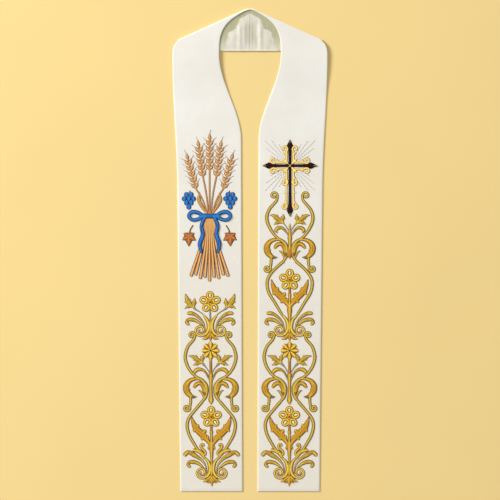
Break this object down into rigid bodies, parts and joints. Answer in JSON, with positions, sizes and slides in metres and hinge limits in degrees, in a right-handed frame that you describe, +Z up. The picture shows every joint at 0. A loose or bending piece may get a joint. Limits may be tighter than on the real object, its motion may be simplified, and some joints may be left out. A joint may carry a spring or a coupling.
{
  "type": "clerical stole",
  "caption": "Long cloth band for the neck, laid flat with folded shoulders, a neck lining and raised embroidery on both fronts.",
  "frame": {"origin": "under the middle of the stole, on the surface that it lies on", "axes": "+X across the two bands, +Y from the hems to the neck point, +Z up out of the cloth"},
  "size_m": [0.389, 1.2149, 0.0048],
  "materials": {
    "ivory_cloth": "matt woven ivory cloth",
    "lining_satin": "soft satin damask lining",
    "gold_thread": "satin stitch in gold thread",
    "dark_thread": "satin stitch in very dark red thread",
    "tan_thread": "satin stitch in tan thread",
    "blue_thread": "satin stitch in blue thread",
    "brown_thread": "satin stitch in brown thread"
  },
  "bodies": {
    "root": {"band_left": "ivory_cloth", "band_right": "ivory_cloth", "neck_lining_left": "lining_satin", "neck_lining_right": "lining_satin", "scrolls_left": "gold_thread", "scrolls_right": "gold_thread", "cross": "dark_thread", "cross_scroll_upper_left": "gold_thread", "cross_scroll_upper_right": "gold_thread", "cross_scroll_lower_left": "gold_thread", "cross_scroll_lower_right": "gold_thread", "wheat_sheaf": "tan_thread", "ribbon_tie": "blue_thread", "grapes_left": "blue_thread", "grapes_right": "blue_thread", "vine_leaf_left": "brown_thread", "vine_leaf_right": "brown_thread"}
  },
  "joints": []
}
